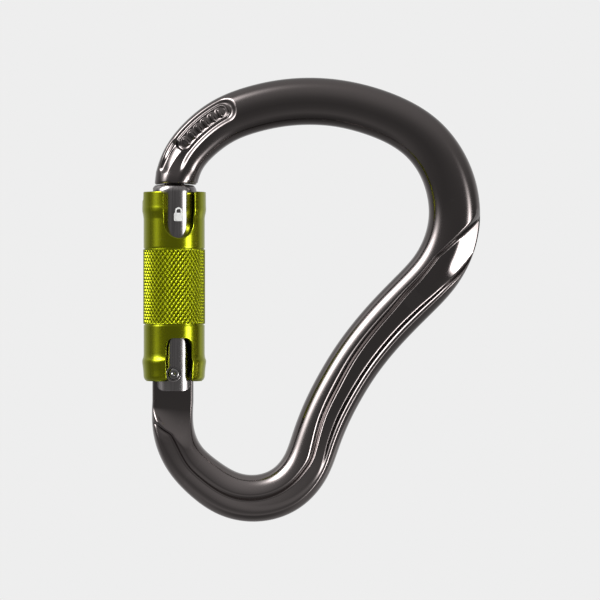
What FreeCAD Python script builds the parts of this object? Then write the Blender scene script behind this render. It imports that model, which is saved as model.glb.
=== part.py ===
import FreeCAD, Part
import math
import os
from FreeCAD import Vector as V

# Locking carabiner: a large pear-shaped forged frame, a round hinged gate, and
# a spring-loaded sleeve that is pushed up, turned, and then frees the gate.
#
# Frame of the part: +Z up, +Y through the thickness, origin where a rope or
# sling bears on the inside of the wide end.  All lengths are millimetres.

# ---------------------------------------------------------------- dimensions
PIN_X, PIN_Z = -34.93, -65.36      # hinge pin's axis, which runs along Y

# centre line of the forged bar from the nose round to the hinge end, with its
# width in the plane of the frame: x, z, width
BAR = [
    (-34.90, -16.53, 11.36), (-32.57, -9.27, 11.35), (-27.71, -3.21, 11.75),
    (-21.44, 1.31, 12.10), (-14.20, 4.09, 12.29), (-6.60, 5.70, 12.38),
    (1.15, 6.20, 12.41), (8.88, 5.56, 12.40), (16.43, 3.75, 12.50),
    (23.65, 0.89, 12.60), (30.11, -3.38, 12.80), (34.99, -9.37, 13.05),
    (37.93, -16.55, 13.35), (38.75, -24.25, 13.52), (37.22, -31.82, 13.64),
    (33.56, -38.66, 13.63), (28.36, -44.43, 13.58), (22.90, -49.95, 13.50),
    (17.71, -55.74, 13.34), (13.00, -61.91, 13.18), (8.89, -68.51, 13.05),
    (5.32, -75.41, 12.95), (2.44, -82.62, 12.82), (-0.40, -89.86, 12.70),
    (-5.47, -95.56, 12.55), (-12.79, -98.12, 12.35), (-20.37, -97.06, 12.15),
    (-26.94, -92.99, 11.70), (-32.33, -87.38, 10.95), (-35.10, -80.24, 10.78),
    (-35.25, -72.47, 10.81)]
# thickness of the bar (along Y) against distance along the centre line
THICK = [(0, 11.36), (10, 11.6), (30, 12.0), (100, 12.2), (190, 12.0),
         (215, 11.4), (233, 11.0)]
SECTION_POWER = 2.3                # 2 is an ellipse, more is squarer

# the groove forged into both faces of the spine, between an inner bead and an
# outer flange: distance along the bar, centre (+ is outward), half width, depth
GROOVE = [(92, 6.2, 2.6, 0.0), (100, 5.2, 3.2, 0.9), (110, 3.2, 3.3, 1.5),
          (122, 1.2, 3.0, 1.7), (140, 0.7, 2.7, 1.7), (165, 1.2, 2.5, 1.5),
          (178, 1.7, 2.2, 1.1), (195, 2.2, 1.8, 0.7), (212, 2.2, 1.6, 0.5),
          (222, 2.2, 1.6, 0.0)]
# the shallow recess forged into both faces of the shoulder over the nose
POCKET = [(4, 0.0, 3.2, 0.0), (8, 0.0, 3.4, 0.7), (22, 0.0, 3.4, 0.7),
          (26, 0.0, 3.2, 0.0)]

TANG_T = 5.5                       # thickness of the hinge tang
TANG_X0, TANG_X1 = -5.73, 5.08     # its two edges, from the pin
TANG_ROOT_Z = -9.0                 # where the full section begins, from the pin
TANG_ROOT_R = 3.0                  # radius of the scoop at the tang's root
TANG_HOLE_R = 1.30
CAM_R = 4.30                       # cam radius under the plunger, gate closed
CAM_RISE = 1.20 / 28.0             # cam rise per degree of gate swing

NOSE_ARC_R = 49.90                 # end face of the nose, about the pin
KEY_HALF_X = 2.60                  # T-shaped key on the nose
KEY_NECK_Y, KEY_BULB_Y = 1.10, 1.90
KEY_Z0, KEY_Z1 = 46.40, 48.50      # the key's head, from the pin

GATE_R = 5.90
GATE_TOP_R = 49.65                 # crowned end of the gate, about the pin
GATE_Z0 = -4.50                    # lower end of the fork's cheeks
CHEEK_HALF_X = 4.24
FORK_HALF_Y = 2.80
FORK_ROOT_Z = 7.00
PLUNGER_BORE_R, PLUNGER_BORE_Z = 1.75, 22.0
SLOT_CLEAR = 0.15                  # around the key, each side

RIVET_R = 1.25
RIVET_HEAD_R = 1.50
COUNTERBORE_R, COUNTERBORE_Y = 1.90, 4.90

PLUNGER_R = 1.68
PLUNGER_TIP_GAP = 0.06
PLUNGER_TOP_Z = 11.0
GATE_SPRING_R, GATE_SPRING_WIRE, GATE_SPRING_TURNS = 1.15, 0.40, 13

SLEEVE_Z0, SLEEVE_Z1 = -1.97, 47.70
SLEEVE_BORE_R = 7.10
SLEEVE_GUIDE_R, SLEEVE_GUIDE_Z = 6.00, 35.0
NOTCH_TURN = 12.2                  # turn of the notches about the gate, degrees
TOP_NOTCH_HALF, TOP_NOTCH_Z = 4.20, 35.50
LOW_NOTCH_HALF, LOW_NOTCH_Z, LOW_NOTCH_R = 3.45, 9.30, 1.80
RELIEF_HALF, RELIEF_Z = 2.15, 45.45
SLEEVE_TWIST = 78.0                # degrees
SLEEVE_LIFT = 2.5

BUSH_Z0, BUSH_Z1 = 9.80, 19.00
BUSH_R = 6.00
GUIDE_PIN_R, GUIDE_PIN_Z = 0.80, 15.00
GUIDE_PIN_Y0, GUIDE_PIN_Y1 = 2.80, 6.90
WASHER_Z0, WASHER_Z1, WASHER_R0, WASHER_R1 = 19.05, 19.75, 6.05, 6.95
SLEEVE_SPRING_R, SLEEVE_SPRING_WIRE, SLEEVE_SPRING_TURNS = 6.50, 0.70, 6
SEAT_Z0, SEAT_Z1, SEAT_R0, SEAT_R1 = 32.95, 33.55, 5.95, 7.00
SNAP_Z0, SNAP_Z1, SNAP_R0, SNAP_R1 = 33.65, 34.35, 5.35, 6.60
SNAP_GAP = 40.0                    # opening of the snap ring, degrees

PIN = V(PIN_X, 0, PIN_Z)


# -------------------------------------------------------------- small helpers
def along(table, s, column=1):
    """Smooth value of a table at a distance along the bar."""
    if s <= table[0][0]:
        return table[0][column]
    for a, b in zip(table, table[1:]):
        if s <= b[0]:
            t = (s - a[0]) / (b[0] - a[0])
            t = t * t * (3 - 2 * t)
            return a[column] + (b[column] - a[column]) * t
    return table[-1][column]


def cyl(r, z0, z1, x=0.0, y=0.0):
    return Part.makeCylinder(r, z1 - z0, V(x, y, z0))


def cyl_y(r, y0, y1, x=0.0, z=0.0):
    return Part.makeCylinder(r, y1 - y0, V(x, y0, z), V(0, 1, 0))


def box(x0, x1, y0, y1, z0, z1):
    return Part.makeBox(x1 - x0, y1 - y0, z1 - z0, V(x0, y0, z0))


def ring(r0, r1, z0, z1):
    return cyl(r1, z0, z1).cut(cyl(r0, z0 - 1, z1 + 1))


def turned(points):
    """Solid of revolution about Z from (radius, z) points, closed on itself."""
    wire = Part.makePolygon([V(r, 0, z) for r, z in points + [points[0]]])
    return Part.Face(wire).revolve(V(0, 0, 0), V(0, 0, 1), 360)


def plate(points, y0, y1):
    """Prism along Y from an XZ outline."""
    wire = Part.makePolygon([V(x, y0, z) for x, z in points + [points[0]]])
    return Part.Face(wire).extrude(V(0, y1 - y0, 0))


def arc_points(cx, cz, r, a0, a1, n):
    return [(cx + r * math.cos(math.radians(a0 + (a1 - a0) * i / n)),
             cz + r * math.sin(math.radians(a0 + (a1 - a0) * i / n)))
            for i in range(n + 1)]


def coil(radius, wire_r, z0, z1, turns, arcs):
    """Helical spring of round wire between z0 and z1; the wire's section is drawn as arcs."""
    height = z1 - z0 - 2 * wire_r
    helix = Part.makeHelix(height / turns, height, radius)
    section = []
    for i in range(arcs):
        angles = [2 * math.pi * (i + k / 2) / arcs for k in range(3)]
        points = [V(radius + wire_r * math.cos(a), 0, wire_r * math.sin(a)) for a in angles]
        section.append(Part.Arc(*points).toShape())
    spring = Part.Wire(helix.Edges).makePipeShell([Part.Wire(section)], True, True)
    spring.translate(V(0, 0, z0 + wire_r))
    return spring


def placed(shape):
    """From the gate's own frame (pin at the origin) to the part's frame."""
    shape = shape.copy()
    shape.translate(PIN)
    return shape


# --------------------------------------------------------------------- frame
curve = Part.BSplineCurve()
curve.interpolate([V(x, 0, z) for x, z, w in BAR])


def bar_wire(index, s):
    """Closed section of the bar at one row of BAR."""
    x, z, w = BAR[index]
    u = curve.parameter(V(x, 0, z))
    t = curve.tangent(u)[0]
    out = V(-t.z, 0, t.x)
    n = SECTION_POWER if s > 25 else 2.0 + (SECTION_POWER - 2.0) * s / 25
    thick = along(THICK, s)
    pts = []
    count = 44
    for i in range(count):
        a = 2 * math.pi * (i + 0.5) / count
        ca, sa = math.cos(a), math.sin(a)
        q = math.copysign(abs(ca) ** (2 / n), ca) * w / 2
        y = math.copysign(abs(sa) ** (2 / n), sa) * thick / 2
        for table in (GROOVE, POCKET):
            half, deep = along(table, s, 2), along(table, s, 3)
            e = (q - along(table, s, 1)) / half
            if abs(e) < 1 and deep > 0:
                y -= math.copysign(deep * math.cos(e * math.pi / 2) ** 2, sa) \
                    * min(1.0, abs(y) / (0.3 * thick))
        p = V(x, 0, z) + out * q + V(0, y, 0)
        pts.append(p)
    section = Part.BSplineCurve()
    section.interpolate(Points=pts, PeriodicFlag=True)
    return Part.Wire(section.toShape())


wires, s = [], 0.0
for i, (x, z, w) in enumerate(BAR):
    if i:
        s += math.hypot(x - BAR[i - 1][0], z - BAR[i - 1][1])
    wires.append(bar_wire(i, s))
bar = Part.makeLoft(wires, True, False)

# the nose: its end is an arc about the pin, and it carries a T-shaped key
nose_cut = cyl_y(NOSE_ARC_R, -9, 9).common(box(-9, 9, -9, 9, 40, 52))
bar = bar.cut(placed(nose_cut))
key = box(-KEY_HALF_X, KEY_HALF_X, -KEY_NECK_Y, KEY_NECK_Y, KEY_Z1 - 0.4, 52.0)
key = key.fuse(box(-KEY_HALF_X, KEY_HALF_X, -KEY_BULB_Y, KEY_BULB_Y, KEY_Z0, KEY_Z1))
bar = bar.fuse(placed(key.removeSplitter()))

# the hinge tang: both faces are scooped away above its root
for side in (1, -1):
    half = TANG_T / 2
    outline = [(half, 16.0), (half, TANG_ROOT_Z)]
    outline += arc_points(half + TANG_ROOT_R, TANG_ROOT_Z, TANG_ROOT_R, 180, 270, 10)[1:]
    outline += [(10.0, TANG_ROOT_Z - TANG_ROOT_R), (10.0, 16.0)]
    scoop = Part.Face(Part.makePolygon(
        [V(-9, side * y, z) for y, z in outline + [outline[0]]])).extrude(V(18, 0, 0))
    bar = bar.cut(placed(scoop))


def cam(angle):
    """Point of the cam at an angle from +Z towards +X."""
    r = CAM_R + CAM_RISE * angle
    return (r * math.sin(math.radians(angle)), r * math.cos(math.radians(angle)))


tang = [(TANG_X0, -12.0), (TANG_X0, 0.2)]
tang += [(-5.5, 1.4), (-4.7, 2.3), (-3.4, 2.9)]
tang += [cam(a) for a in range(-26, 49, 2)]
tang += [(TANG_X1, 3.2), (TANG_X1, -12.0)]
tang = plate(tang, -TANG_T / 2, TANG_T / 2)
frame = bar.fuse(placed(tang)).cut(placed(cyl_y(TANG_HOLE_R, -5, 5)))

# ---------------------------------------------------------------------- gate
gate = turned([(0, GATE_Z0 - 1), (GATE_R, GATE_Z0 - 1)]
              + arc_points(GATE_R - 2.2, 47.75, 2.2, 0, 90, 12)
              + [(0, 49.95)])
gate = gate.common(cyl_y(GATE_TOP_R, -8, 8))
corner = 1.6
half = CHEEK_HALF_X
keep = [(half, 0.0)] + arc_points(half + 1.8, 0.0, 1.8, 180, 90, 6)[1:]
keep += [(9, 1.8), (9, 60), (-9, 60), (-9, 1.8)]
keep += [(x, z) for x, z in arc_points(-half - 1.8, 0.0, 1.8, 90, 0, 6)]
keep += arc_points(-half + corner, GATE_Z0 + corner, corner, 180, 270, 8)
keep += arc_points(half - corner, GATE_Z0 + corner, corner, 270, 360, 8)
gate = gate.common(plate(keep, -9, 9))
gate = gate.cut(box(-9, 9, -FORK_HALF_Y, FORK_HALF_Y, -9, FORK_ROOT_Z))
gate = gate.cut(cyl(PLUNGER_BORE_R, FORK_ROOT_Z - 1, PLUNGER_BORE_Z))
gate = gate.cut(cyl_y(RIVET_R, -9, 9))
gate = gate.cut(cyl_y(COUNTERBORE_R, COUNTERBORE_Y, 9))
gate = gate.cut(cyl_y(COUNTERBORE_R, -9, -COUNTERBORE_Y))
slot_x1 = KEY_HALF_X + 0.30
slot = box(-9, slot_x1, -KEY_BULB_Y - SLOT_CLEAR, KEY_BULB_Y + SLOT_CLEAR, 40, 52)
slot = slot.common(cyl_y(KEY_Z1 + 0.25, -9, 9)).cut(cyl_y(KEY_Z0 - 0.20, -9, 9))
neck = box(-9, slot_x1, -KEY_NECK_Y - SLOT_CLEAR, KEY_NECK_Y + SLOT_CLEAR, 40, 52)
neck = neck.cut(cyl_y(KEY_Z1, -9, 9))
gate = gate.cut(slot).cut(neck)
gate = gate.cut(ring(SNAP_R0 - 0.05, 8, SNAP_Z0 - 0.05, SNAP_Z1 + 0.05))
gate = gate.cut(Part.makeCylinder(GUIDE_PIN_R, 6, V(0, GUIDE_PIN_Y0 - 0.1, GUIDE_PIN_Z),
                                  V(0, 1, 0)))

# --------------------------------------------------------------------- rivet
profile = [(0, -COUNTERBORE_Y), (RIVET_R, -COUNTERBORE_Y), (RIVET_R, COUNTERBORE_Y),
           (RIVET_HEAD_R, COUNTERBORE_Y), (RIVET_HEAD_R, 5.45), (1.36, 5.64),
           (1.1, 5.76), (0.8, 5.82), (0.55, 5.82), (0.25, 5.64), (0, 5.60)]
mirror = [(r, -z) for r, z in reversed(profile[3:])]
rivet = turned(mirror[:-1] + [(RIVET_HEAD_R, -COUNTERBORE_Y), (RIVET_R, -COUNTERBORE_Y),
                              (RIVET_R, COUNTERBORE_Y)] + profile[3:])
rivet.rotate(V(0, 0, 0), V(1, 0, 0), 90)

# ------------------------------------------------- plunger and the gate spring
tip = 0.0
a = -26.0
while a <= 48.0:
    x, z = cam(a)
    if abs(x) < PLUNGER_R:
        tip = max(tip, z + math.sqrt(PLUNGER_R ** 2 - x * x))
    a += 0.1
tip += PLUNGER_TIP_GAP
plunger = cyl(PLUNGER_R, tip, PLUNGER_TOP_Z).fuse(Part.makeSphere(PLUNGER_R, V(0, 0, tip)))
plunger = plunger.removeSplitter()
gate_spring = coil(GATE_SPRING_R, GATE_SPRING_WIRE / 2, PLUNGER_TOP_Z + 0.02,
                   PLUNGER_BORE_Z - 0.02, GATE_SPRING_TURNS, 24)

# -------------------------------------------------------------------- sleeve
outside = [(7.35, SLEEVE_Z0), (7.78, -1.72), (8.02, -1.20), (8.10, -0.50), (8.20, 1.0),
           (8.36, 2.7), (8.40, 3.3), (8.33, 3.9), (8.12, 4.5), (8.05, 5.2), (8.03, 12.6),
           (7.80, 12.9), (7.80, 13.1), (8.08, 13.3), (8.08, 32.4), (7.82, 32.6),
           (7.82, 32.8), (8.03, 33.1), (8.03, 40.6), (8.12, 41.2), (8.38, 42.9),
           (8.40, 43.5), (8.36, 44.5), (8.36, 47.3), (8.05, SLEEVE_Z1)]
inside = [(SLEEVE_GUIDE_R + 0.2, SLEEVE_Z1), (SLEEVE_GUIDE_R, SLEEVE_Z1 - 0.2),
          (SLEEVE_GUIDE_R, SLEEVE_GUIDE_Z), (SLEEVE_BORE_R, SLEEVE_GUIDE_Z),
          (SLEEVE_BORE_R, SLEEVE_Z0 + 1.2), (SLEEVE_BORE_R + 0.2, SLEEVE_Z0)]
sleeve = turned(outside + inside)
top_notch = box(-TOP_NOTCH_HALF, TOP_NOTCH_HALF, -12, 12,
                TOP_NOTCH_Z + TOP_NOTCH_HALF, 60)
top_notch = top_notch.fuse(cyl_y(TOP_NOTCH_HALF, -12, 12, 0, TOP_NOTCH_Z + TOP_NOTCH_HALF))
r = LOW_NOTCH_R
low = [(LOW_NOTCH_HALF, -9)]
low += arc_points(LOW_NOTCH_HALF - r, LOW_NOTCH_Z - r, r, 0, 90, 8)
low += arc_points(-LOW_NOTCH_HALF + r, LOW_NOTCH_Z - r, r, 90, 180, 8)
low += [(-LOW_NOTCH_HALF, -9)]
low_notch = plate(low, -12, 12)
for cutter in (top_notch, low_notch):
    cutter.rotate(V(0, 0, 0), V(0, 0, 1), NOTCH_TURN)
    sleeve = sleeve.cut(cutter)
sleeve = sleeve.cut(box(-12, 0, -RELIEF_HALF, RELIEF_HALF, RELIEF_Z, 60))

# ------------------------------------------------------ parts inside the sleeve
bush = ring(BUSH_R, SLEEVE_BORE_R, BUSH_Z0, BUSH_Z1)
margin = math.degrees(math.asin((GUIDE_PIN_R + 0.15) / BUSH_R))
start, sweep = 90.0 - SLEEVE_TWIST - margin, SLEEVE_TWIST + 2 * margin
z0 = GUIDE_PIN_Z - SLEEVE_LIFT - GUIDE_PIN_R - 0.05
z1 = GUIDE_PIN_Z + GUIDE_PIN_R + 0.05
window = Part.makeCylinder(9, z1 - z0, V(0, 0, z0), V(0, 0, 1), sweep)
window.rotate(V(0, 0, 0), V(0, 0, 1), start)
bush = bush.cut(window)

guide_pin = Part.makeCylinder(GUIDE_PIN_R, GUIDE_PIN_Y1 - GUIDE_PIN_Y0,
                              V(0, GUIDE_PIN_Y0, GUIDE_PIN_Z), V(0, 1, 0))
washer = ring(WASHER_R0, WASHER_R1, WASHER_Z0, WASHER_Z1)
sleeve_spring = coil(SLEEVE_SPRING_R, SLEEVE_SPRING_WIRE / 2, WASHER_Z1 + 0.03,
                     SEAT_Z0 - 0.03, SLEEVE_SPRING_TURNS, 24)
seat = ring(SEAT_R0, SEAT_R1, SEAT_Z0, SEAT_Z1)
snap = ring(SNAP_R0, SNAP_R1, SNAP_Z0, SNAP_Z1)
gap = Part.makeCylinder(9, 4, V(0, 0, SNAP_Z0 - 1), V(0, 0, 1), SNAP_GAP)
gap.rotate(V(0, 0, 0), V(0, 0, 1), 90 - SNAP_GAP / 2)
snap = snap.cut(gap)

# -------------------------------------------------------------------- export
os.makedirs("parts", exist_ok=True)
nodes = {
    "frame": frame,
    "gate": placed(gate),
    "hinge_rivet": placed(rivet),
    "gate_plunger": placed(plunger),
    "gate_spring": placed(gate_spring),
    "locking_sleeve": placed(sleeve),
    "guide_bush": placed(bush),
    "guide_pin": placed(guide_pin),
    "thrust_washer": placed(washer),
    "sleeve_spring": placed(sleeve_spring),
    "spring_seat": placed(seat),
    "snap_ring": placed(snap),
}
for name, shape in nodes.items():
    if len(shape.Solids) == 1:
        shape = shape.Solids[0]
    if shape.Volume < 0:
        shape = shape.reversed()
    shape.exportStep("parts/%s.step" % name)
    b = shape.BoundBox
    print("%-15s solids %d valid %s volume %9.2f  x %.2f..%.2f  y %.2f..%.2f  z %.2f..%.2f" % (
        name, len(shape.Solids), shape.isValid(), shape.Volume,
        b.XMin, b.XMax, b.YMin, b.YMax, b.ZMin, b.ZMax))
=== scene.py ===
import math
import bpy
import bmesh
import numpy as np
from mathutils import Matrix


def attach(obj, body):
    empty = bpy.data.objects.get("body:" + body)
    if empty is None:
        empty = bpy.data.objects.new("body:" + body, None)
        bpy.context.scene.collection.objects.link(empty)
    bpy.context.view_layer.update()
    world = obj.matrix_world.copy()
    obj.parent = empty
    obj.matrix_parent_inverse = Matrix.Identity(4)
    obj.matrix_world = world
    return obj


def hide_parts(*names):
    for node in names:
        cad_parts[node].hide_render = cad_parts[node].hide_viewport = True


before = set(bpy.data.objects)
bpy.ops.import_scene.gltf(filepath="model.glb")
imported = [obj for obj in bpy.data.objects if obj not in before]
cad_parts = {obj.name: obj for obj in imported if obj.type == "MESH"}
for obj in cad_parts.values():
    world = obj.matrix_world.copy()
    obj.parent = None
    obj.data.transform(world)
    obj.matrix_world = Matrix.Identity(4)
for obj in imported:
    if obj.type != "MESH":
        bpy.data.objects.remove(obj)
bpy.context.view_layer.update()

# ------------------------------------------------------------------ dimensions
# millimetres, in the part's frame; the gate's own frame has its origin on the
# hinge pin
MM = 0.001
PIN = np.array([-34.93, 0.0, -65.36])

BAR = np.array([
    (-34.90, -16.53, 11.36), (-32.57, -9.27, 11.35), (-27.71, -3.21, 11.75),
    (-21.44, 1.31, 12.10), (-14.20, 4.09, 12.29), (-6.60, 5.70, 12.38),
    (1.15, 6.20, 12.41), (8.88, 5.56, 12.40), (16.43, 3.75, 12.50),
    (23.65, 0.89, 12.60), (30.11, -3.38, 12.80), (34.99, -9.37, 13.05),
    (37.93, -16.55, 13.35), (38.75, -24.25, 13.52), (37.22, -31.82, 13.64),
    (33.56, -38.66, 13.63), (28.36, -44.43, 13.58), (22.90, -49.95, 13.50),
    (17.71, -55.74, 13.34), (13.00, -61.91, 13.18), (8.89, -68.51, 13.05),
    (5.32, -75.41, 12.95), (2.44, -82.62, 12.82), (-0.40, -89.86, 12.70),
    (-5.47, -95.56, 12.55), (-12.79, -98.12, 12.35), (-20.37, -97.06, 12.15),
    (-26.94, -92.99, 11.70), (-32.33, -87.38, 10.95), (-35.10, -80.24, 10.78),
    (-35.25, -72.47, 10.81)])


# --------------------------------------------------------------------- helpers
def spline(x, y):
    """Natural cubic spline through (x, y); returns value and slope functions."""
    x, y = np.asarray(x, float), np.asarray(y, float)
    n = len(x)
    h = np.diff(x)
    a = np.zeros((n, n))
    r = np.zeros((n,) + y.shape[1:])
    a[0, 0] = a[-1, -1] = 1
    for i in range(1, n - 1):
        a[i, i - 1], a[i, i], a[i, i + 1] = h[i - 1], 2 * (h[i - 1] + h[i]), h[i]
        r[i] = 6 * ((y[i + 1] - y[i]) / h[i] - (y[i] - y[i - 1]) / h[i - 1])
    m = np.linalg.solve(a, r)

    def at(t):
        t = np.asarray(t, float)
        i = np.clip(np.searchsorted(x, t) - 1, 0, n - 2)
        hh = h[i]
        u, v = x[i + 1] - t, t - x[i]
        if y.ndim > 1:
            hh, u, v = hh[..., None], u[..., None], v[..., None]
        val = (m[i] * u ** 3 + m[i + 1] * v ** 3) / (6 * hh) \
            + (y[i] / hh - m[i] * hh / 6) * u + (y[i + 1] / hh - m[i + 1] * hh / 6) * v
        slope = (-m[i] * u ** 2 + m[i + 1] * v ** 2) / (2 * hh) \
            - (y[i] / hh - m[i] * hh / 6) + (y[i + 1] / hh - m[i + 1] * hh / 6)
        return val, slope
    return at


def curve(table, s):
    """Smooth monotone value from a table of (s, value)."""
    t = np.array(table, float)
    x, y = t[:, 0], t[:, 1]
    h, d = np.diff(x), np.diff(y) / np.diff(x)
    m = np.zeros(len(x))
    m[0], m[-1] = d[0], d[-1]
    for i in range(1, len(x) - 1):
        if d[i - 1] * d[i] > 0:
            w1, w2 = 2 * h[i] + h[i - 1], h[i] + 2 * h[i - 1]
            m[i] = (w1 + w2) / (w1 / d[i - 1] + w2 / d[i])
    s = np.clip(s, x[0], x[-1])
    i = np.clip(np.searchsorted(x, s) - 1, 0, len(x) - 2)
    u = (s - x[i]) / h[i]
    return ((1 + 2 * u) * (1 - u) ** 2 * y[i] + u * (1 - u) ** 2 * h[i] * m[i]
            + u * u * (3 - 2 * u) * y[i + 1] + u * u * (u - 1) * h[i] * m[i + 1])


def smin(a, b, k):
    h = np.maximum(k - np.abs(a - b), 0) / k
    return np.minimum(a, b) - h * h * k / 4


def smax(a, b, k):
    return -smin(-a, -b, k)


def step(a, b, x):
    t = np.clip((x - a) / (b - a), 0, 1)
    return t * t * (3 - 2 * t)


def mesh_object(name, verts, faces, smooth=True, sharp=None):
    me = bpy.data.meshes.new(name)
    me.from_pydata([tuple(v) for v in np.asarray(verts) * MM], [], faces)
    me.update()
    bm = bmesh.new()
    bm.from_mesh(me)
    bmesh.ops.remove_doubles(bm, verts=bm.verts, dist=2e-7)
    bmesh.ops.recalc_face_normals(bm, faces=bm.faces)
    bm.to_mesh(me)
    bm.free()
    me.polygons.foreach_set("use_smooth", [smooth] * len(me.polygons))
    if sharp is not None:
        me.set_sharp_from_angle(angle=math.radians(sharp))
    me.update()
    ob = bpy.data.objects.new(name, me)
    bpy.context.scene.collection.objects.link(ob)
    return ob


def grid_faces(rows, cols, close_cols=True, close_rows=False, base=0):
    i = np.arange(rows if close_rows else rows - 1)
    j = np.arange(cols if close_cols else cols - 1)
    I, J = np.meshgrid(i, j, indexing="ij")
    I2, J2 = (I + 1) % rows, (J + 1) % cols
    f = np.stack([I * cols + J, I * cols + J2, I2 * cols + J2, I2 * cols + J], -1) + base
    return f.reshape(-1, 4).tolist()


# ----------------------------------------------------------- the forged frame
CHORD = np.r_[0, np.cumsum(np.hypot(*np.diff(BAR[:, :2], axis=0).T))]
BAR_AT = spline(CHORD, BAR)
LENGTH = CHORD[-1]

THICK = [(0, 11.36), (10, 11.6), (30, 12.0), (100, 12.2), (190, 12.0), (215, 11.6), (233, 11.2)]
POWER = [(0, 2.0), (3.0, 2.05), (6.5, 2.6), (12, 2.6), (25, 2.25), (90, 2.25), (125, 2.3), (200, 2.3), (225, 2.5), (233, 2.6)]

# the side channel: the four lines of its profile, as distance out from the
# centre line against distance along it
LINE_B = [(95, 9.5), (100.3, 5.84), (102.2, 4.1), (104.1, 2.42), (107.7, 0.0), (110.2, -1.2), (112.9, -2.15), (118, -2.5),
          (124, -2.55), (132, -2.2), (145, -2.1), (155, -1.75), (164, -1.35), (172, -0.55),
          (176, -0.2), (180, -0.55), (186, -0.75), (200, -0.3), (213, -0.2), (219, -0.5),
          (223.2, 0.0), (225.5, 2.6), (228, 6.0)]
WALL_1 = [(95, 0.75), (112, 0.85), (124, 1.25), (138, 1.55), (155, 1.75), (164, 1.45),
          (172, 1.25), (180, 0.95), (215, 0.9), (224, 0.9)]
LINE_D = [(100, 9.2), (106, 7.5), (110, 6.1), (114, 4.95), (118, 3.95), (127, 3.15), (135, 2.95), (150, 2.95),
          (162, 2.9), (171, 3.2), (178, 3.7), (190, 3.2), (200, 3.0), (212, 2.6), (219, 2.9), (223, 3.8), (226, 6.0), (228, 8.0)]
WALL_2 = [(100, 1.0), (118, 1.2), (135, 1.35), (160, 1.3), (171, 1.0), (180, 0.6), (228, 0.6)]
FLOOR_IN = [(95, 3.45), (110, 3.35), (130, 3.25), (160, 3.25), (172, 3.45), (180, 3.9),
            (190, 4.15), (215, 4.3), (219, 4.25), (223, 4.1), (225.5, 3.9), (228, 3.3)]
FLOOR_OUT = [(95, 3.45), (110, 3.35), (130, 3.25), (160, 3.3), (172, 3.75), (180, 4.35),
             (190, 4.75), (205, 4.95), (215, 4.9), (222, 4.9), (226, 4.6), (229, 4.6)]

# where the hinge tang's flat faces scoop up to the full section (gate frame z)
TANG_HALF = 2.72
RAMP_TOP = [(-6, -9.6), (-3, -9.6), (0, -9.3), (2, -9.1), (4.2, -8.9), (6, -8.6)]
RAMP_END = [(-6, -20.5), (-4, -20.0), (-1, -18.6), (0.9, -16.6), (2.8, -14.6), (4.3, -13.2), (6, -12.4)]


def rounded_rect(s, u, s0, s1, u0, u1, r):
    """Signed distance to a rounded rectangle, negative inside."""
    qx = np.abs(s - (s0 + s1) / 2) - (s1 - s0) / 2 + r
    qy = np.abs(u - (u0 + u1) / 2) - (u1 - u0) / 2 + r
    return np.minimum(np.maximum(qx, qy), 0) + np.hypot(np.maximum(qx, 0), np.maximum(qy, 0)) - r


def pocket(s, u):
    """Depth of the recess over the nose, with its raised panel of plain ribs."""
    lean = 0.30 * step(2, 26, s)
    edge = rounded_rect(s, u, -8.0, 26.9, -1.45 + lean, 5.05 + lean, 3.0)
    fade = step(1.0, 8.5, s)
    wall = step(0.30, -1.45, edge)
    start = 2.5 - 1.35 * np.clip((s - 3.5) / 6.5, 0, 1)
    lean_in = 0.42 * np.clip(u - start, 0, 2.2) * step(2.2, 4.0, s) * step(10.9, 9.7, s)
    depth = (1.15 * fade + lean_in) * wall
    panel = rounded_rect(s, u, 9.8, 24.6, 0.10 + lean, 3.60 + lean, 1.5)
    rim = 0.42 * np.exp(-((panel + 0.05) / 0.34) ** 2)
    wave = np.clip(0.5 + 0.5 * np.cos((s - 11.9) / 2.15 * 2 * np.pi), 0, 1)
    ribs = 0.66 * wave ** 1.3 * step(-0.35, -0.95, panel)
    return depth - fade * (rim + ribs)


def ring_angles(s, half, n, count):
    """Angles of each ring's points; along the channel they follow its edges."""
    v = (np.arange(count // 2) + 0.5) / (count // 2)
    knots = np.array([0, 0.16, 0.30, 0.48, 0.64, 1.0])
    b = curve(LINE_B, s)
    lines = [curve(LINE_D, s) + curve(WALL_2, s) * 0.75, curve(LINE_D, s),
             b + 0.85 * curve(WALL_1, s), b - 0.25]
    follow = step(88.0, 99.0, s) * step(232.5, 227.0, s)
    top = np.zeros((len(s), count // 2))
    for i in range(len(s)):
        at, last = [0.0], 0.0
        for k, line in enumerate(lines):
            r = np.clip(line[i] / half[i], -0.985, 0.985)
            ang = math.acos(math.copysign(abs(r) ** (n[i] / 2), r))
            last = max(ang, last + 0.05)
            at.append(last)
        at = np.array(at + [math.pi])
        at = follow[i] * at + (1 - follow[i]) * math.pi * knots
        top[i] = np.interp(v, knots, at)
    return np.concatenate([top, 2 * np.pi - top[:, ::-1]], 1)


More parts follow.
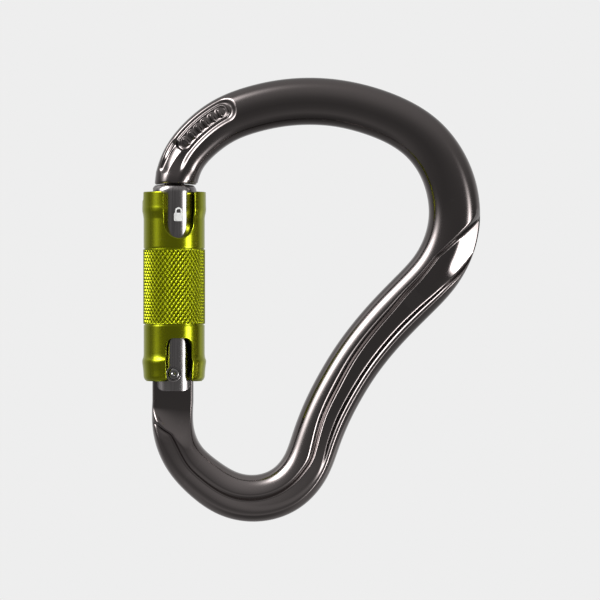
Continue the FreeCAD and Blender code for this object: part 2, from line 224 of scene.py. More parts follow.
def bar_rings(s, count):
    """Points (x, y, z) in the part's frame for stations s and a ring of angles."""
    p, d = BAR_AT(s)
    d = d[:, :2] / np.linalg.norm(d[:, :2], axis=1)[:, None]
    out = np.stack([-d[:, 1], d[:, 0]], 1)
    n = curve(POWER, s)[:, None]
    thick = curve(THICK, s)[:, None]
    a = ring_angles(s, p[:, 2] / 2, n[:, 0], count)
    ca, sa = np.cos(a), np.sin(a)
    q = np.sign(ca) * np.abs(ca) ** (2 / n) * p[:, 2:3] / 2
    y = np.abs(sa) ** (2 / n) * thick / 2
    S = np.repeat(s[:, None], count, 1)
    # the channel
    b, w1 = curve(LINE_B, s)[:, None], curve(WALL_1, s)[:, None]
    dd, w2 = curve(LINE_D, s)[:, None], curve(WALL_2, s)[:, None]
    fi, fo = curve(FLOOR_IN, s)[:, None], curve(FLOOR_OUT, s)[:, None]
    c = b + w1
    t = np.clip((q - c) / np.maximum(dd - c, 0.5), -0.6, 1.6)
    floor = fi + (fo - fi) * t
    slope = 0.60 * step(119.0, 111.0, s)[:, None]
    over = q - 0.55
    floor = floor - slope * np.where(over > 2.4, over - 1.2, np.maximum(over, 0) ** 2 / 4.8)
    edge_y = np.clip(1 - (np.abs(b) / (p[:, 2:3] / 2)) ** n, 0.02, 1) ** (1 / n) * thick / 2
    wall_in = edge_y - (thick / 2 - fi) / w1 * (q - b)
    over_d = dd - 0.55
    at_d = fo - slope * np.where(over_d > 2.4, over_d - 1.2, np.maximum(over_d, 0) ** 2 / 4.8)
    wall_out = at_d + (5.3 - fo) * (q - dd) / w2
    shape = smax(floor, wall_in, 0.8)
    live = step(101.5, 108, s)[:, None]
    shape = smax(shape, wall_out - (1 - live) * 6, 0.8)
    gone = (1 - step(93.5, 94.5, s))[:, None] * 9 + step(226.5, 228.5, s)[:, None] * 9
    y = smin(y, shape + gone, 1.75)
    # the recess over the nose
    near = step(0.10, 0.35, y / (thick / 2))
    y = y - pocket(S, q) * near
    # the scoop down to the tang
    X = p[:, 0:1] + out[:, 0:1] * q
    Z = p[:, 1:2] + out[:, 1:2] * q
    zz = Z - PIN[2]
    u = X - PIN[0] + 0.3
    z0, z1 = curve(RAMP_TOP, -u), curve(RAMP_END, -u)
    z0, z1 = curve(RAMP_TOP, q), curve(RAMP_END, q)
    e = np.clip((z0 - zz) / (z0 - z1), 0, 1.3)
    limit = TANG_HALF + (thick / 2 + 0.4 - TANG_HALF) * np.clip(e, 0, 1) ** 1.7 + 5 * np.clip(e - 1, 0, 1)
    limit = np.where(S > 212, limit, 99.0)
    y = smin(y, limit, 0.9)
    y = y * np.sign(sa)
    return np.stack([X, y, Z], -1)


def make_frame_bar():
    count = 336
    s = np.concatenate([
        np.arange(1.6, 28, 0.125), np.arange(28, 90, 0.5), np.arange(90, 128, 0.2),
        np.arange(128, 212, 0.38), np.arange(212, LENGTH - 0.01, 0.16), [LENGTH]])
    rings = bar_rings(s, count)
    # the nose's end: an arc about the pin, slightly rounded at its rim
    x, yy, z = rings[0, :, 0] - PIN[0], rings[0, :, 1], rings[0, :, 2] - PIN[2]
    cx = x.mean()
    nose = []
    for scale, lift in ((1.0, 0.62), (1.0, 0.42), (0.985, 0.2), (0.962, 0.07), (0.93, 0.0),
                        (0.75, 0.0), (0.5, 0.0), (0.25, 0.0), (0.02, 0.0)):
        xs, ys = cx + (x - cx) * scale, yy * scale
        nose.append(np.stack([xs + PIN[0], ys, np.sqrt(49.9 ** 2 - xs ** 2) + lift + PIN[2]], 1))
    nose = np.array(nose[::-1])
    # stations that would lie below the arc are dropped
    keep = s > 2.7
    rings = rings[keep]
    # the tang above the last station: rounded plate whose top is the cam
    last = rings[-1] - PIN
    top = []
    cam = [(4.30 + 1.2 / 28 * a, math.radians(a)) for a in range(-26, 49, 2)]
    cam = [(r * math.sin(t), r * math.cos(t)) for r, t in cam]
    peak = max(range(len(cam)), key=lambda i: cam[i][1])
    left = [(-5.73, -8.0), (-5.73, 0.2), (-5.5, 1.4), (-4.7, 2.3), (-3.4, 2.9)] + cam[:peak + 1]
    right = [(5.08, -8.0), (5.08, 3.2)] + cam[:peak - 1:-1]
    left = [p for k, p in enumerate(left) if k == 0 or p[1] > left[k - 1][1] - 1e-9 or k < 5]
    lz = np.maximum.accumulate([p[1] for p in left]) + np.arange(len(left)) * 1e-6
    rz = np.maximum.accumulate([p[1] for p in right]) + np.arange(len(right)) * 1e-6
    zs = np.concatenate([np.linspace(-6.9, 2.7, 50), np.linspace(2.8, cam[peak][1] - 0.02, 16)])
    half0 = (last[:, 0].max() - last[:, 0].min()) / 2
    mid0 = (last[:, 0].max() + last[:, 0].min()) / 2
    ln = (last[:, 0] - mid0) / half0
    for zc in zs:
        xl, xr = np.interp(zc, lz, [p[0] for p in left]), np.interp(zc, rz, [p[0] for p in right])
        hx = max((xr - xl) / 2, 0.05)
        top.append(np.stack([(xl + xr) / 2 + ln * hx, last[:, 1], np.full(count, zc)], 1) + PIN)
    rows = np.concatenate([nose, rings, np.array(top)])
    n = len(rows)
    verts = rows.reshape(-1, 3)
    faces = grid_faces(n, count)
    verts = np.vstack([verts, rows[0].mean(0), rows[-1].mean(0)])
    a, b = n * count, n * count + 1
    faces += [[a, (j + 1) % count, j] for j in range(count)]
    o = (n - 1) * count
    faces += [[b, o + j, o + (j + 1) % count] for j in range(count)]
    return mesh_object("frame_bar", verts, faces)


def prism_y(outline, profile):
    """Rounded solid: outline rows given as (scale inset, y), outline in XZ."""
    outline = np.array(outline)
    nxt, prv = np.roll(outline, -1, 0), np.roll(outline, 1, 0)
    t = nxt - prv
    t /= np.linalg.norm(t, axis=1)[:, None]
    nrm = np.stack([t[:, 1], -t[:, 0]], 1)
    rows = []
    for inset, y in profile:
        p = outline - nrm * inset
        rows.append(np.stack([p[:, 0], np.full(len(p), y), p[:, 1]], 1))
    rows = np.array(rows)
    n, c = rows.shape[:2]
    faces = grid_faces(n, c)
    verts = np.vstack([rows.reshape(-1, 3), rows[0].mean(0), rows[-1].mean(0)])
    a, b = n * c, n * c + 1
    faces += [[a, (j + 1) % c, j] for j in range(c)]
    o = (n - 1) * c
    faces += [[b, o + j, o + (j + 1) % c] for j in range(c)]
    return verts, faces


def make_key():
    """The T-shaped key on the nose: a bevelled T section run along X."""
    section = [(-1.10, 51.0), (-1.10, 48.5), (-1.90, 48.5), (-1.90, 46.4), (1.90, 46.4),
               (1.90, 48.5), (1.10, 48.5), (1.10, 51.0)]
    bm = bmesh.new()
    ends = []
    for x in (-2.6, 2.6):
        ends.append([bm.verts.new(((x + PIN[0]) * MM, y * MM, (z + PIN[2]) * MM)) for y, z in section])
    bm.faces.new(ends[0])
    bm.faces.new(ends[1][::-1])
    for i in range(len(section)):
        j = (i + 1) % len(section)
        bm.faces.new((ends[0][i], ends[1][i], ends[1][j], ends[0][j]))
    bmesh.ops.recalc_face_normals(bm, faces=bm.faces)
    bmesh.ops.bevel(bm, geom=list(bm.edges), offset=0.16 * MM, segments=3, profile=0.6, affect="EDGES")
    me = bpy.data.meshes.new("nose_key")
    bm.to_mesh(me)
    bm.free()
    me.polygons.foreach_set("use_smooth", [True] * len(me.polygons))
    me.set_sharp_from_angle(angle=math.radians(35))
    ob = bpy.data.objects.new("nose_key", me)
    bpy.context.scene.collection.objects.link(ob)
    return ob


# ---------------------------------------------------------------- the sleeve
NOTCH_TURN = 12.2
OUT_PROFILE = [(-1.97, 8.02), (-1.0, 8.04), (0.5, 8.12), (2.0, 8.28), (3.1, 8.40), (3.55, 8.36),
               (4.0, 8.20), (4.5, 8.08), (5.2, 8.03), (9, 8.02), (12.4, 8.03), (12.6, 8.02),
               (33.1, 8.03), (33.4, 8.04), (37.0, 8.04), (40.6, 8.04), (41.2, 8.10), (41.9, 8.22),
               (42.7, 8.37), (43.4, 8.40), (44.0, 8.37), (45, 8.36), (47.7, 8.34)]


def r_out(z):
    return curve(OUT_PROFILE, z)


def r_in(z):
    return np.where(z > 35.0, 6.0, 7.1) + 0.45 * np.clip((z - 46.9) / 0.8, 0, 1)


def notch_line(half, depth_z, top_z, radius, mouth, n):
    """Half width, end, mouth rim: points (x, z) from one side round to the other.
    radius is the corner radius at the end, mouth the radius at the rim; top_z is
    the rim and depth_z the end, either way up."""
    sgn = 1 if top_z > depth_z else -1
    pts = []
    for k in range(9):
        a = math.pi / 2 * k / 8
        pts.append((-half - mouth + mouth * math.sin(a), top_z - sgn * (mouth - mouth * math.cos(a))))
    zc = depth_z + sgn * radius
    pts += [(-half, z) for z in np.linspace(pts[-1][1], zc, 40)[1:-1]]
    for k in range(25):
        a = math.pi / 2 * k / 24
        pts.append((-half + radius - radius * math.cos(a), zc - sgn * radius * math.sin(a)))
    if half > radius + 1e-3:
        pts += [(x, depth_z) for x in np.linspace(-half + radius, half - radius, 12)[1:-1]]
    pts = pts[:-1] + [(-x, z) for x, z in ([pts[-1]] if half > radius + 1e-3 else []) ] \
        if False else pts
    mirrored = [(-x, z) for x, z in reversed(pts)]
    if half > radius + 1e-3:
        mirrored = mirrored[12 - 2:]
    else:
        mirrored = mirrored[1:]
    line = np.array(pts + mirrored)
    d = np.r_[0, np.cumsum(np.hypot(*np.diff(line, axis=0).T))]
    u = np.linspace(0, d[-1], n)
    return np.stack([np.interp(u, d, line[:, 0]), np.interp(u, d, line[:, 1])], 1)


def rim_outline(notches, rim_z, radius, total):
    """Closed outline of a rim at one radius: (angle, z) for `total` columns.
    notches: [(centre angle deg, line of (x, z))], in rising angle."""
    parts = []
    fixed = sum(len(l) for _, l in notches)
    spans = []
    for k, (c, l) in enumerate(notches):
        end = math.radians(c) + math.asin(l[-1, 0] / 8.2)
        c2, l2 = notches[(k + 1) % len(notches)]
        start = math.radians(c2 + (360 if k == len(notches) - 1 else 0)) + math.asin(l2[0, 0] / 8.2)
        spans.append(start - end)
    counts = np.floor((total - fixed) * np.array(spans) / sum(spans)).astype(int)
    counts[-1] += total - fixed - counts.sum()
    for k, (c, l) in enumerate(notches):
        ang = math.radians(c) + np.arcsin(l[:, 0] / radius)
        parts.append(np.stack([ang, l[:, 1]], 1))
        c2, l2 = notches[(k + 1) % len(notches)]
        nxt = math.radians(c2 + (360 if k == len(notches) - 1 else 0)) + math.asin(l2[0, 0] / radius)
        a = np.linspace(ang[-1], nxt, counts[k] + 2)[1:-1]
        parts.append(np.stack([a, np.full(len(a), rim_z)], 1))
    return np.concatenate(parts)


def offset_line(line, radius, amount, into):
    """Moves an outline into the metal by amount, in the unrolled surface."""
    p = np.stack([line[:, 0] * radius, line[:, 1]], 1)
    wrap = np.array([2 * np.pi * radius, 0])
    nxt = np.vstack([p[1:], p[:1] + wrap])
    prv = np.vstack([p[-1:] - wrap, p[:-1]])
    t = nxt - prv
    t /= np.maximum(np.linalg.norm(t, axis=1), 1e-9)[:, None]
    nrm = np.stack([t[:, 1], -t[:, 0]], 1) * into
    q = p + nrm * amount
    return np.stack([q[:, 0] / radius, q[:, 1]], 1)


def knurl(theta, z):
    """Diamond knurl: a raised lattice of ridges around diamond pits."""
    p = theta * 44 / (2 * np.pi) + (z - 13.2) / 1.62
    q = theta * 44 / (2 * np.pi) - (z - 13.2) / 1.62

    def slope(v):
        f = 1 - np.abs((v % 1.0) - 0.5) * 2        # 0 on a ridge, 1 midway between two
        return np.clip((f - 0.16) / 0.84, 0, 1)
    g = np.minimum(slope(p), slope(q))
    end = np.minimum(step(13.05, 13.45, z), 1 - step(32.2, 32.6, z))
    return 0.42 * g * end


def make_sleeve():
    cols = 880
    top_notches = [(-90 + NOTCH_TURN, notch_line(4.20, 35.50, 47.70, 4.20, 0.7, 230)),
                   (90 + NOTCH_TURN, notch_line(4.20, 35.50, 47.70, 4.20, 0.7, 230)),
                   (180, notch_line(2.15, 45.45, 47.70, 0.8, 0.4, 60))]
    low_notches = [(-90 + NOTCH_TURN, notch_line(3.45, 9.30, -1.97, 1.8, 0.9, 230)),
                   (90 + NOTCH_TURN, notch_line(3.45, 9.30, -1.97, 1.8, 0.9, 230))]
    start = math.radians(-90 + NOTCH_TURN) + math.asin(-4.9 / 8.2)
    mid_theta = start + 2 * np.pi * np.arange(cols) / cols
    # shift so that the middle angles follow both outlines as closely as they can
    top_o = rim_outline(top_notches, 47.7, 8.34, cols)
    mid_theta = mid_theta + (top_o[:, 0] - mid_theta).mean()

    def low(radius):
        o = rim_outline(low_notches, -1.97, radius, cols)
        k = int(round((o[:, 0] - mid_theta).mean() / (2 * np.pi / cols)))
        if k:
            o = np.roll(o, k, 0)
            o[:, 0] = np.unwrap(o[:, 0])
            o[:, 0] += np.round((mid_theta.mean() - o[:, 0].mean()) / (2 * np.pi)) * 2 * np.pi
        return o

    rows = []

    def ring(theta, z, r):
        rows.append(np.stack([r * np.cos(theta), r * np.sin(theta), z], 1))

    def blend_rows(theta0, z0, line, count, radius_of, first, last):
        e = np.linspace(0, 1, count)
        for k in e[first:last]:
            th = theta0 + (line[:, 0] - theta0) * k
            z = z0 + (line[:, 1] - z0) * k
            ring(th, z, radius_of(z))

    bev = 0.22
    # outside, from the lower mid line up through the knurl to the top rim
    lo_o = low(8.03)
    lo_edge = offset_line(lo_o, 8.05, bev, -1)
    hi_edge = offset_line(top_o, 8.34, bev, 1)
    # check which way is into the metal
    if hi_edge[-3, 1] > 47.7:
        hi_edge = offset_line(top_o, 8.34, bev, -1)
    if lo_edge[len(lo_edge) // 2, 1] < lo_o[len(lo_o) // 2, 1]:
        lo_edge = offset_line(lo_o, 8.05, bev, 1)
    count = 96
    e = np.linspace(1, 0, count)
    for k in e:
        th = mid_theta + (lo_edge[:, 0] - mid_theta) * k
        z = 12.55 + (lo_edge[:, 1] - 12.55) * k
        r = r_out(z)
        # the rolled lower corner
        c = np.clip((-0.57 - z) / 1.4, 0, 1)
        r = r - 1.0 * (1 - np.sqrt(np.clip(1 - c * c, 0, 1)))
        ring(th, z, r)
    for z in (12.62, 12.70):
        ring(mid_theta, np.full(cols, z), np.full(cols, 8.0))
    for z, r in ((12.74, 7.80), (13.00, 7.78)):
        ring(mid_theta, np.full(cols, z), np.full(cols, r))
    for z in np.linspace(13.06, 32.60, 236):
        zz = np.full(cols, z)
        ring(mid_theta, zz, 8.12 - knurl(mid_theta, zz))
    for z, r in ((32.64, 7.80), (32.84, 7.78), (32.90, 7.98), (33.0, 8.03)):
        ring(mid_theta, np.full(cols, z), np.full(cols, r))
    for k in np.linspace(0, 1, 120)[1:]:
        th = mid_theta + (hi_edge[:, 0] - mid_theta) * k
        z = 33.1 + (hi_edge[:, 1] - 33.1) * k
        ring(th, z, r_out(z))
    # over the top edge
    r_here = r_out(top_o[:, 1])
    for f, g in ((0.42, 0.10), (0.14, 0.35), (0.0, 1.0)):
        line = offset_line(top_o, 8.34, bev * f, 1 if hi_edge[-3, 1] < top_o[-3, 1] and
                           np.allclose(hi_edge, offset_line(top_o, 8.34, bev, 1)) else -1)
        ring(line[:, 0], line[:, 1], r_here - bev * g)
    top_i = rim_outline(top_notches, 47.7, 6.0, cols)
    for f in (0.33, 0.66):
        rr = r_here - bev + (6.12 - r_here + bev) * f
        a = top_o[:, 0] + (top_i[:, 0] - top_o[:, 0]) * f
        x = np.where(True, a, a)
        ring(x, top_o[:, 1], rr)
    ring(top_i[:, 0], top_i[:, 1], np.full(cols, 6.12))
    sign = 1 if np.allclose(hi_edge, offset_line(top_o, 8.34, bev, 1)) else -1
    ti_edge = offset_line(top_i, 6.0, 0.15, sign)
    ring(ti_edge[:, 0], ti_edge[:, 1], np.full(cols, 6.0))
    # inside, down
    for k in np.linspace(1, 0, 30)[1:]:
        th = mid_theta + (ti_edge[:, 0] - mid_theta) * k
        z = 35.05 + (ti_edge[:, 1] - 35.05) * k
        ring(th, z, np.full(cols, 6.0))
    for z, r in ((35.0, 6.05), (35.0, 7.1), (33.0, 7.1), (20.0, 7.1), (9.9, 7.1)):
        ring(mid_theta, np.full(cols, z), np.full(cols, r))
    lo_i = low(7.1)
    sign2 = 1 if np.allclose(lo_edge, offset_line(lo_o, 8.05, bev, 1)) else -1
    li_edge = offset_line(lo_i, 7.1, 0.15, sign2)
    for k in np.linspace(0, 1, 40)[1:]:
        th = mid_theta + (li_edge[:, 0] - mid_theta) * k
        z = 9.8 + (li_edge[:, 1] - 9.8) * k
        ring(th, z, 7.1 + 0.2 * np.clip((-0.77 - z) / 1.2, 0, 1))
    ring(lo_i[:, 0], lo_i[:, 1], np.full(cols, 7.1) + 0.25 * np.clip((-0.77 - lo_i[:, 1]) / 1.2, 0, 1) + 0.06)
    c = np.clip((-0.57 - lo_o[:, 1]) / 1.4, 0, 1)
    r_low = r_out(lo_o[:, 1]) - 1.0 * (1 - np.sqrt(np.clip(1 - c * c, 0, 1)))
    for f in (0.5,):
        th = lo_i[:, 0] + (lo_o[:, 0] - lo_i[:, 0]) * f
        ring(th, lo_o[:, 1], 7.1 + (r_low - bev - 7.1) * f)
    for f, g in ((0.0, 1.0), (0.14, 0.35), (0.42, 0.10)):
        line = offset_line(lo_o, 8.05, bev * f, sign2)
        ring(line[:, 0], line[:, 1], np.maximum(r_low - bev * g, 7.3))
    rows_a = np.array(rows)
    verts = rows_a.reshape(-1, 3) + PIN
    faces = grid_faces(len(rows), cols, True, True)
    return mesh_object("sleeve_shell", verts, faces, sharp=52)


# ------------------------------------------------------------ small markings
def make_mark():
    """A plain padlock sign printed on the gate, wrapped on its surface."""
    verts, faces = [], []
    r = 5.935
    cx, cz = 1.36, 41.05

    def put(pts, ring_pts=None):
        base = len(verts)
        for x, z in pts:
            a = math.asin((cx + x) / r)
            verts.append((r * math.sin(a), -r * math.cos(a), cz + z))
        return base
    # body: a small rounded rectangle, as a grid of columns
    w, h = 1.24, 1.08
    n = 14
    xs = np.linspace(-w, w, n)
    for k in range(n - 1):
        def edge(x):
            d = max(abs(x) - (w - 0.22), 0)
            return h - (0.22 - math.sqrt(max(0.22 ** 2 - d * d, 0)))
        b = put([(xs[k], -edge(xs[k])), (xs[k + 1], -edge(xs[k + 1])),
                 (xs[k + 1], edge(xs[k + 1])), (xs[k], edge(xs[k]))])
        faces.append([b, b + 1, b + 2, b + 3])
    # shackle: half a ring with two short legs
    mid = [(0.74, 0.95)] + [(0.74 * math.cos(t), 1.55 + 0.74 * math.sin(t))
                            for t in np.linspace(0, math.pi, 17)] + [(-0.74, 0.95)]
    mid = np.array(mid)
    t = np.gradient(mid, axis=0)
    t /= np.linalg.norm(t, axis=1)[:, None]
    nn = np.stack([-t[:, 1], t[:, 0]], 1)
    for k in range(len(mid) - 1):
        b = put([tuple(mid[k] - nn[k] * 0.2), tuple(mid[k + 1] - nn[k + 1] * 0.2),
                 tuple(mid[k + 1] + nn[k + 1] * 0.2), tuple(mid[k] + nn[k] * 0.2)])
        faces.append([b, b + 1, b + 2, b + 3])
    return mesh_object("lock_sign", np.array(verts) + PIN, faces)


# ------------------------------------------------------------------ materials
def material(name, color, metallic=1.0, rough=0.2, scale=(1, 1, 1), freq=9000,
             coat=0.0, bump=0.02, edge=0.0, rough_var=0.06, tint=0.06, spec=0.5, streak=0.0,
             round_edge=0.0, bottom_painted_light=0.0):
    m = bpy.data.materials.new(name)
    m.use_nodes = True
    nt = m.node_tree
    nt.nodes.clear()
    out = nt.nodes.new("ShaderNodeOutputMaterial")
    bs = nt.nodes.new("ShaderNodeBsdfPrincipled")
    nt.links.new(bs.outputs[0], out.inputs[0])
    bs.inputs["Metallic"].default_value = metallic
    bs.inputs["Specular IOR Level"].default_value = spec
    bs.inputs["Coat Weight"].default_value = coat
    bs.inputs["Coat Roughness"].default_value = 0.12
    tc = nt.nodes.new("ShaderNodeTexCoord")
    mp = nt.nodes.new("ShaderNodeMapping")
    mp.inputs["Scale"].default_value = scale
    nt.links.new(tc.outputs["Object"], mp.inputs["Vector"])
    fine = nt.nodes.new("ShaderNodeTexNoise")
    fine.inputs["Scale"].default_value = freq
    fine.inputs["Detail"].default_value = 3.0
    nt.links.new(mp.outputs[0], fine.inputs["Vector"])
    wide = nt.nodes.new("ShaderNodeTexNoise")
    wide.inputs["Scale"].default_value = 90.0
    wide.inputs["Detail"].default_value = 4.0
    nt.links.new(tc.outputs["Object"], wide.inputs["Vector"])
    # colour: slow variation, drawing streaks, a painted lighter bottom that stands in for light falling
    # there, and brighter colour on sharp convex edges
    c = np.array(color)
    mix = nt.nodes.new("ShaderNodeMix")
    mix.data_type = "RGBA"
    mix.inputs[6].default_value = (*(c * (1 - tint)), 1)
    mix.inputs[7].default_value = (*np.minimum(c * (1 + tint), 1), 1)
    nt.links.new(wide.outputs["Fac"], mix.inputs[0])
    last = mix.outputs[2]
    # painted light: the base colour is made lighter towards the bottom of the part, standing in for light
    # that falls on the lower bar; the metal itself has one tone
    if bottom_painted_light > 0:
        sp = nt.nodes.new("ShaderNodeSeparateXYZ")
        nt.links.new(tc.outputs["Object"], sp.inputs[0])
        painted_light_ramp = nt.nodes.new("ShaderNodeMapRange")
        painted_light_ramp.interpolation_type = "SMOOTHSTEP"
        painted_light_ramp.inputs["From Min"].default_value = -0.070
        painted_light_ramp.inputs["From Max"].default_value = -0.100
        painted_light_ramp.inputs["To Max"].default_value = 1.0
        nt.links.new(sp.outputs["Z"], painted_light_ramp.inputs["Value"])
        painted_light_mix = nt.nodes.new("ShaderNodeMix")
        painted_light_mix.data_type = "RGBA"
        painted_light_mix.inputs[7].default_value = (*(c * (1 + bottom_painted_light)), 1)
        nt.links.new(painted_light_ramp.outputs[0], painted_light_mix.inputs[0])
        nt.links.new(last, painted_light_mix.inputs[6])
        last = painted_light_mix.outputs[2]
    if streak > 0:
        line = nt.nodes.new("ShaderNodeMapRange")
        line.inputs["From Min"].default_value = 0.42
        line.inputs["From Max"].default_value = 0.62
        line.inputs["To Max"].default_value = streak
        nt.links.new(fine.outputs["Fac"], line.inputs["Value"])
        mix1 = nt.nodes.new("ShaderNodeMix")
        mix1.data_type = "RGBA"
        mix1.inputs[7].default_value = (*(c * 0.35), 1)
        nt.links.new(line.outputs[0], mix1.inputs[0])
        nt.links.new(last, mix1.inputs[6])
        last = mix1.outputs[2]
    # sharp convex edges, as the mesh's pointiness finds them, get a brighter colour
    if edge > 0:
        geo = nt.nodes.new("ShaderNodeNewGeometry")
        ramp = nt.nodes.new("ShaderNodeMapRange")
        ramp.inputs["From Min"].default_value = 0.52
        ramp.inputs["From Max"].default_value = 0.62
        ramp.inputs["To Max"].default_value = edge
        nt.links.new(geo.outputs["Pointiness"], ramp.inputs["Value"])
        mix2 = nt.nodes.new("ShaderNodeMix")
        mix2.data_type = "RGBA"
        mix2.inputs[7].default_value = (*np.minimum(c * 1.8 + 0.08, 1), 1)
        nt.links.new(ramp.outputs[0], mix2.inputs[0])
        nt.links.new(last, mix2.inputs[6])
        last = mix2.outputs[2]
    nt.links.new(last, bs.inputs["Base Color"])
    rr = nt.nodes.new("ShaderNodeMapRange")
    rr.inputs["To Min"].default_value = max(rough - rough_var, 0.02)
    rr.inputs["To Max"].default_value = rough + rough_var
    nt.links.new(fine.outputs["Fac"], rr.inputs["Value"])
    nt.links.new(rr.outputs[0], bs.inputs["Roughness"])
    bp = nt.nodes.new("ShaderNodeBump")
    bp.inputs["Strength"].default_value = bump
    bp.inputs["Distance"].default_value = 0.0001
    nt.links.new(fine.outputs["Fac"], bp.inputs["Height"])
    if round_edge > 0:
        bv = nt.nodes.new("ShaderNodeBevel")
        bv.samples = 8
        bv.inputs["Radius"].default_value = round_edge
        nt.links.new(bv.outputs[0], bp.inputs["Normal"])
    nt.links.new(bp.outputs[0], bs.inputs["Normal"])
    return m


def give(ob, m):
    ob.data.materials.clear()
    ob.data.materials.append(m)


# the frame's base colour is painted lighter towards its bottom, as painted light
frame_metal = material("frame_anodised", (0.175, 0.155, 0.152), rough=0.15, rough_var=0.03, freq=5000,
                       bump=0.03, edge=0.08, tint=0.05, bottom_painted_light=0.6)
gate_metal = material("gate_polished", (0.40, 0.375, 0.375), rough=0.17, rough_var=0.06, streak=0.5,
                      scale=(1, 1, 0.02), freq=3200, bump=0.10, edge=0.1, tint=0.03,
                      round_edge=0.0003)
sleeve_metal = material("sleeve_anodised", (0.345, 0.38, 0.005), rough=0.22, rough_var=0.04, coat=0.25,
                        scale=(1, 1, 2.0), freq=9000, bump=0.06, edge=0.15, tint=0.04)
knurl_metal = material("sleeve_knurl", (0.315, 0.35, 0.005), rough=0.36, rough_var=0.05, coat=0.10,
                       freq=9000, bump=0.06, edge=0.10, tint=0.05)
rivet_metal = material("rivet_stainless", (0.30, 0.29, 0.29), rough=0.15, freq=7000, bump=0.04, edge=0.2,
                       round_edge=0.0002)
inner_steel = material("turned_steel", (0.45, 0.45, 0.45), rough=0.22, scale=(1, 1, 6), freq=6000,
                       bump=0.08, round_edge=0.0001)
spring_steel = material("spring_wire", (0.42, 0.42, 0.43), rough=0.24, freq=9000, bump=0.05)
black_acetal = material("black_acetal", (0.022, 0.022, 0.024), metallic=0.0, rough=0.42, freq=4000, bump=0.06)
white_acetal = material("natural_acetal", (0.72, 0.71, 0.67), metallic=0.0, rough=0.38, freq=4000, bump=0.05)
sign_white = material("sign_white", (0.74, 0.74, 0.73), metallic=0.0, rough=0.55, freq=6000, bump=0.05,
                      spec=0.2)

# --------------------------------------------------------------------- pieces
bar = make_frame_bar()
give(bar, frame_metal)
key = make_key()
give(key, frame_metal)
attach(bar, "body_frame")
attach(key, "body_frame")
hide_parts("frame")

shell = make_sleeve()
give(shell, sleeve_metal)
shell.data.materials.append(knurl_metal)
for poly in shell.data.polygons:
    z = poly.center[2] / MM - PIN[2]
    if 12.9 < z < 32.75 and math.hypot(poly.center[0] / MM - PIN[0], poly.center[1] / MM) > 7.4:
        poly.material_index = 1
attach(shell, "body_sleeve")
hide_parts("locking_sleeve")

sign = make_mark()
give(sign, sign_white)
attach(sign, "body_gate")

for node, m in (("gate", gate_metal), ("hinge_rivet", rivet_metal), ("gate_plunger", inner_steel),
                ("gate_spring", spring_steel), ("guide_bush", black_acetal), ("guide_pin", inner_steel),
                ("thrust_washer", white_acetal), ("sleeve_spring", spring_steel),
                ("spring_seat", inner_steel), ("snap_ring", inner_steel)):
    give(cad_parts[node], m)

# ------------------------------------------------------------- floor and light
def slab(name, cx, cy, cz, sx, sy, m):
    pts = [(cx - sx, cy - sy, cz), (cx + sx, cy - sy, cz), (cx + sx, cy + sy, cz), (cx - sx, cy + sy, cz)]
    me = bpy.data.meshes.new(name)
    me.from_pydata(pts, [], [(0, 1, 2, 3)])
    ob = bpy.data.objects.new(name, me)
    bpy.context.scene.collection.objects.link(ob)
    me.materials.append(m)
    return ob


pale = material("pale_floor", (0.655, 0.655, 0.655), metallic=0.0, rough=0.8, freq=300, bump=0.01, tint=0.01)
floor = slab("floor", 0.0, 0.10, -0.168, 0.6, 0.30, pale)
floor.visible_glossy = False

scene = bpy.context.scene
world = bpy.data.worlds.new("studio")
scene.world = world
world.use_nodes = True
wt = world.node_tree
wt.nodes.clear()
w_out = wt.nodes.new("ShaderNodeOutputWorld")
see = wt.nodes.new("ShaderNodeBackground")
see.inputs["Color"].default_value = (0.855, 0.855, 0.855, 1)
glow = wt.nodes.new("ShaderNodeBackground")
tc = wt.nodes.new("ShaderNodeTexCoord")
sep = wt.nodes.new("ShaderNodeSeparateXYZ")
wt.links.new(tc.outputs["Generated"], sep.inputs[0])
ramp = wt.nodes.new("ShaderNodeValToRGB")
mr = wt.nodes.new("ShaderNodeMapRange")
mr.inputs["From Min"].default_value = -1.0
mr.inputs["From Max"].default_value = 1.0
wt.links.new(sep.outputs["Z"], mr.inputs["Value"])
wt.links.new(mr.outputs[0], ramp.inputs["Fac"])
cr = ramp.color_ramp
cr.elements[0].position = 0.0
cr.elements[0].color = (0.10, 0.10, 0.10, 1)
cr.elements[1].position = 1.0
cr.elements[1].color = (0.48, 0.48, 0.48, 1)
for pos, v in ((0.12, 0.26), (0.30, 0.17), (0.48, 0.14), (0.60, 0.20), (0.80, 0.36)):
    el = cr.elements.new(pos)
    el.color = (v, v, v, 1)


def world_range(socket, a, b, c, d):
    n = wt.nodes.new("ShaderNodeMapRange")
    for key, v in (("From Min", a), ("From Max", b), ("To Min", c), ("To Max", d)):
        n.inputs[key].default_value = v
    wt.links.new(socket, n.inputs["Value"])
    return n.outputs[0]


def world_math(op, a, b=None):
    n = wt.nodes.new("ShaderNodeMath")
    n.operation = op
    wt.links.new(a, n.inputs[0])
    if b is not None:
        wt.links.new(b, n.inputs[1])
    return n.outputs[0]


# the pale backdrop behind the part, as its sides see it
behind = world_range(sep.outputs["Y"], 0.15, 0.85, 0.0, 0.45)
level = world_range(world_math("ABSOLUTE", sep.outputs["Z"]), 0.15, 0.65, 1.0, 0.0)
back = world_math("MULTIPLY", behind, level)
total = world_math("ADD", ramp.outputs[0], back)


def world_value(v):
    n = wt.nodes.new("ShaderNodeValue")
    n.outputs[0].default_value = v
    return n.outputs[0]


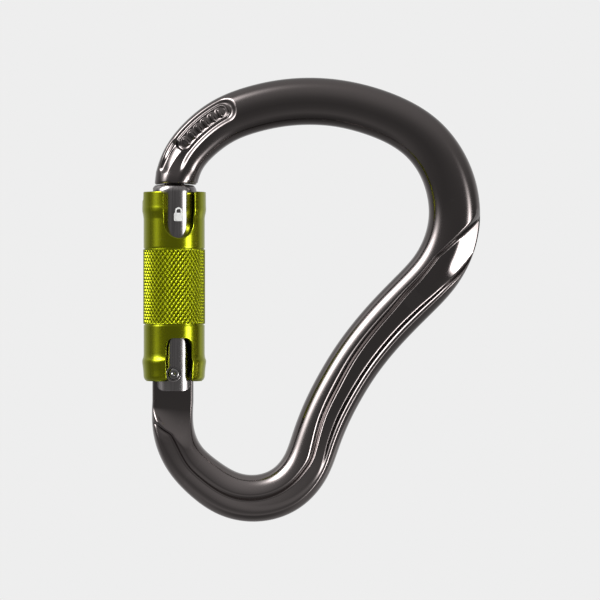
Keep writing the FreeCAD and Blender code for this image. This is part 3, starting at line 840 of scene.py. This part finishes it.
def soft_shape(total, centre, sigma_side, sigma_up, power, rear, side=None):
    """Adds a soft-edged light at a direction; its twin behind the part is weaker."""
    c = np.array(centre, float)
    c /= np.linalg.norm(c)
    side = np.cross(c, (0, 0, 1.0)) if side is None else np.array(side, float)
    side /= np.linalg.norm(side)
    up = np.cross(side, c)
    front = world_math("MULTIPLY", world_math("ABSOLUTE", sep.outputs["Y"]), world_value(-1.0))
    comb = wt.nodes.new("ShaderNodeCombineXYZ")
    wt.links.new(sep.outputs["X"], comb.inputs[0])
    wt.links.new(front, comb.inputs[1])
    wt.links.new(sep.outputs["Z"], comb.inputs[2])
    acc = None
    for axis, sig in ((side, sigma_side), (up, sigma_up)):
        d = wt.nodes.new("ShaderNodeVectorMath")
        d.operation = "DOT_PRODUCT"
        wt.links.new(comb.outputs[0], d.inputs[0])
        d.inputs[1].default_value = tuple(axis / sig)
        sq = world_math("MULTIPLY", d.outputs["Value"], d.outputs["Value"])
        acc = sq if acc is None else world_math("ADD", acc, sq)
    g = world_math("EXPONENT", world_math("MULTIPLY", acc, world_value(-1.0)))
    d = wt.nodes.new("ShaderNodeVectorMath")
    d.operation = "DOT_PRODUCT"
    wt.links.new(comb.outputs[0], d.inputs[0])
    d.inputs[1].default_value = tuple(c)
    ahead = world_math("GREATER_THAN", d.outputs["Value"], world_value(0.0))
    g = world_math("MULTIPLY", g, ahead)
    level = world_range(sep.outputs["Y"], -0.02, 0.02, power, power * rear)
    return world_math("ADD", total, world_math("MULTIPLY", g, level))


total = soft_shape(total, (-0.695, -0.375, 0.612), 0.32, 0.19, 18.0, 0.03,
                   side=(-0.656, 0.0, -0.755))
total = soft_shape(total, (0.82, -0.52, -0.24), 0.13, 0.28, 17.0, 0.03)
wt.links.new(total, glow.inputs["Color"])
lp = wt.nodes.new("ShaderNodeLightPath")
mx = wt.nodes.new("ShaderNodeMixShader")
wt.links.new(lp.outputs["Is Camera Ray"], mx.inputs[0])
wt.links.new(glow.outputs[0], mx.inputs[1])
wt.links.new(see.outputs[0], mx.inputs[2])
wt.links.new(mx.outputs[0], w_out.inputs[0])

CENTRE = np.array([-0.0018, 0.0, -0.046])


def softbox(name, direction, distance, sx, sy, watts, roll=0.0, target=CENTRE):
    d = np.array(direction, float)
    d /= np.linalg.norm(d)
    lamp = bpy.data.lights.new(name, "AREA")
    lamp.shape = "RECTANGLE"
    lamp.size, lamp.size_y = sx, sy
    lamp.energy = watts
    ob = bpy.data.objects.new(name, lamp)
    from mathutils import Vector, Matrix
    ob.location = Vector(tuple(target + d * distance))
    q = Vector(tuple(d)).to_track_quat("Z", "Y")
    ob.rotation_euler = (q.to_matrix() @ Matrix.Rotation(roll, 3, "Z")).to_euler()
    scene.collection.objects.link(ob)
    return ob


def toward(angle, tilt):
    """Direction from the object: in-plane angle from +X towards +Z, and tilt away
    from the front."""
    a, t = math.radians(angle), math.radians(tilt)
    return (math.cos(a) * math.sin(t), -math.cos(t), math.sin(a) * math.sin(t))


for lamp in (softbox("key_left", toward(140, 68), 0.9, 0.28, 0.42, 2.6),
             softbox("strip_right", toward(-5, 60), 0.9, 0.16, 0.60, 1.8)):
    lamp.visible_glossy = False

cam_data = bpy.data.cameras.new("camera")
cam_data.sensor_width = 36.0
cam_data.lens = 36.0 / 0.1578
cam = bpy.data.objects.new("camera", cam_data)
cam.location = (-0.001841, -1.0, -0.04605)
cam.rotation_euler = (math.radians(90), 0, 0)
cam_data.clip_end = 20.0
scene.collection.objects.link(cam)
scene.camera = cam
scene.view_settings.view_transform = "Standard"
scene.view_settings.look = "None"
